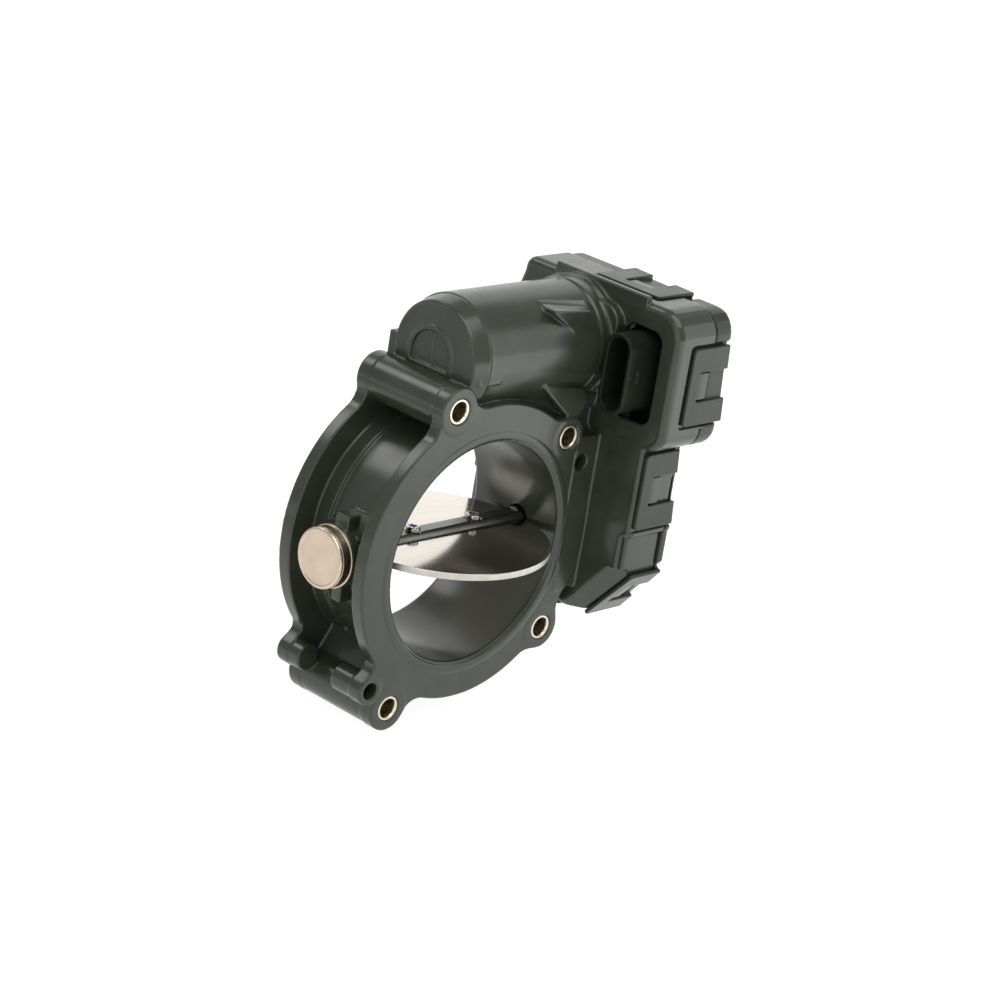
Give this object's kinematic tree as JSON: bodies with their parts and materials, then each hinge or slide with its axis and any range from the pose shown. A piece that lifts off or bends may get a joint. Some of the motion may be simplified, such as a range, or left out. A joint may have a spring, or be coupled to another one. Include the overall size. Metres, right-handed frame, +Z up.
{
  "type": "electronic throttle body",
  "caption": "Electronic throttle body: flanged plastic bore with a motor-driven throttle plate, gear case with clipped cover and side connector.",
  "frame": {"origin": "centre of the bore on the front flange face", "axes": "+X along the throttle shaft towards the gear cover, +Y along the bore from the front flange to the rear one, +Z up to the motor"},
  "size_m": [0.1428, 0.0906, 0.1535],
  "materials": {
    "black_plastic": "satin moulded, with a soft gloss",
    "cover_plastic": "satin moulded",
    "cap_metal": "satin nickel",
    "bush_metal": "plated, satin",
    "plate_metal": "polished",
    "shaft_steel": "dark ground steel",
    "screw_metal": "bright zinc",
    "bearing_steel": "ground",
    "spring_steel": "oiled",
    "seal_rubber": "matt",
    "gear_plastic": "natural nylon",
    "gear_brass": "satin",
    "motor_steel": "zinc plated",
    "ferrite": "matt sintered ferrite",
    "copper": "enamelled winding",
    "pin_metal": "tin plated",
    "board_laminate": "solder resist"
  },
  "bodies": {
    "housing": {"cap_side_bearing_ball_cage": "bearing_steel", "cap_side_bearing_outer_ring": "bearing_steel", "cap_side_shaft_seal": "seal_rubber", "connector_pin_1": "pin_metal", "connector_pin_2": "pin_metal", "connector_pin_3": "pin_metal", "connector_pin_4": "pin_metal", "connector_pin_5": "pin_metal", "connector_pin_6": "pin_metal", "cover_gasket": "seal_rubber", "end_cap": "cap_metal", "flange_bush_bottom_left": "bush_metal", "flange_bush_bottom_right": "bush_metal", "flange_bush_top_left": "bush_metal", "flange_bush_top_right": "bush_metal", "gear_cover": "cover_plastic", "gear_side_bearing_ball_cage": "bearing_steel", "gear_side_bearing_outer_ring": "bearing_steel", "gear_side_shaft_seal": "seal_rubber", "idler_pin": "bearing_steel", "motor_brush_1": "copper", "motor_brush_2": "copper", "motor_can": "motor_steel", "motor_contact_1": "pin_metal", "motor_contact_2": "pin_metal", "motor_end_plate": "gear_plastic", "motor_front_bush": "gear_brass", "motor_magnet_1": "ferrite", "motor_magnet_2": "ferrite", "motor_rear_bush": "gear_brass", "motor_screw_1": "screw_metal", "motor_screw_2": "screw_metal", "motor_wave_washer": "spring_steel", "return_spring": "spring_steel", "sensor_chip": "ferrite", "sensor_circuit_board": "board_laminate", "throttle_housing": "black_plastic"},
    "throttle": {"throttle_shaft": "shaft_steel", "throttle_plate": "plate_metal", "plate_screw_1": "screw_metal", "plate_screw_2": "screw_metal", "sector_gear": "gear_plastic", "sensor_magnet": "ferrite", "cap_side_bearing_inner_ring": "bearing_steel", "gear_side_bearing_inner_ring": "bearing_steel"},
    "idler": {"idler_gear": "gear_plastic"},
    "motor_rotor": {"motor_shaft": "bearing_steel", "motor_armature": "copper", "motor_commutator": "copper", "motor_pinion": "gear_brass"}
  },
  "joints": [
    {"name": "throttle_turn", "type": "hinge", "parent": "housing", "child": "throttle", "pos_m": [0, 0.0202, 0], "axis": [1, 0, 0], "range_deg": [-84, 0], "stiffness_Nm_per_rad": 0.08, "springref_deg": 34.38},
    {"name": "idler_turn", "type": "hinge", "parent": "housing", "child": "idler", "pos_m": [0.066, 0.02337, 0.03987], "axis": [1, 0, 0], "range_deg": [-0.5, 336.5]},
    {"name": "motor_turn", "type": "hinge", "parent": "housing", "child": "motor_rotor", "pos_m": [0.02, 0.0202, 0.0687], "axis": [1, 0, 0], "range_deg": [-1288.5, 0.5]}
  ],
  "couplings": [
    {"joint": "idler_turn", "follows": "throttle_turn", "ratio": -4},
    {"joint": "motor_turn", "follows": "throttle_turn", "ratio": 15.333}
  ]
}
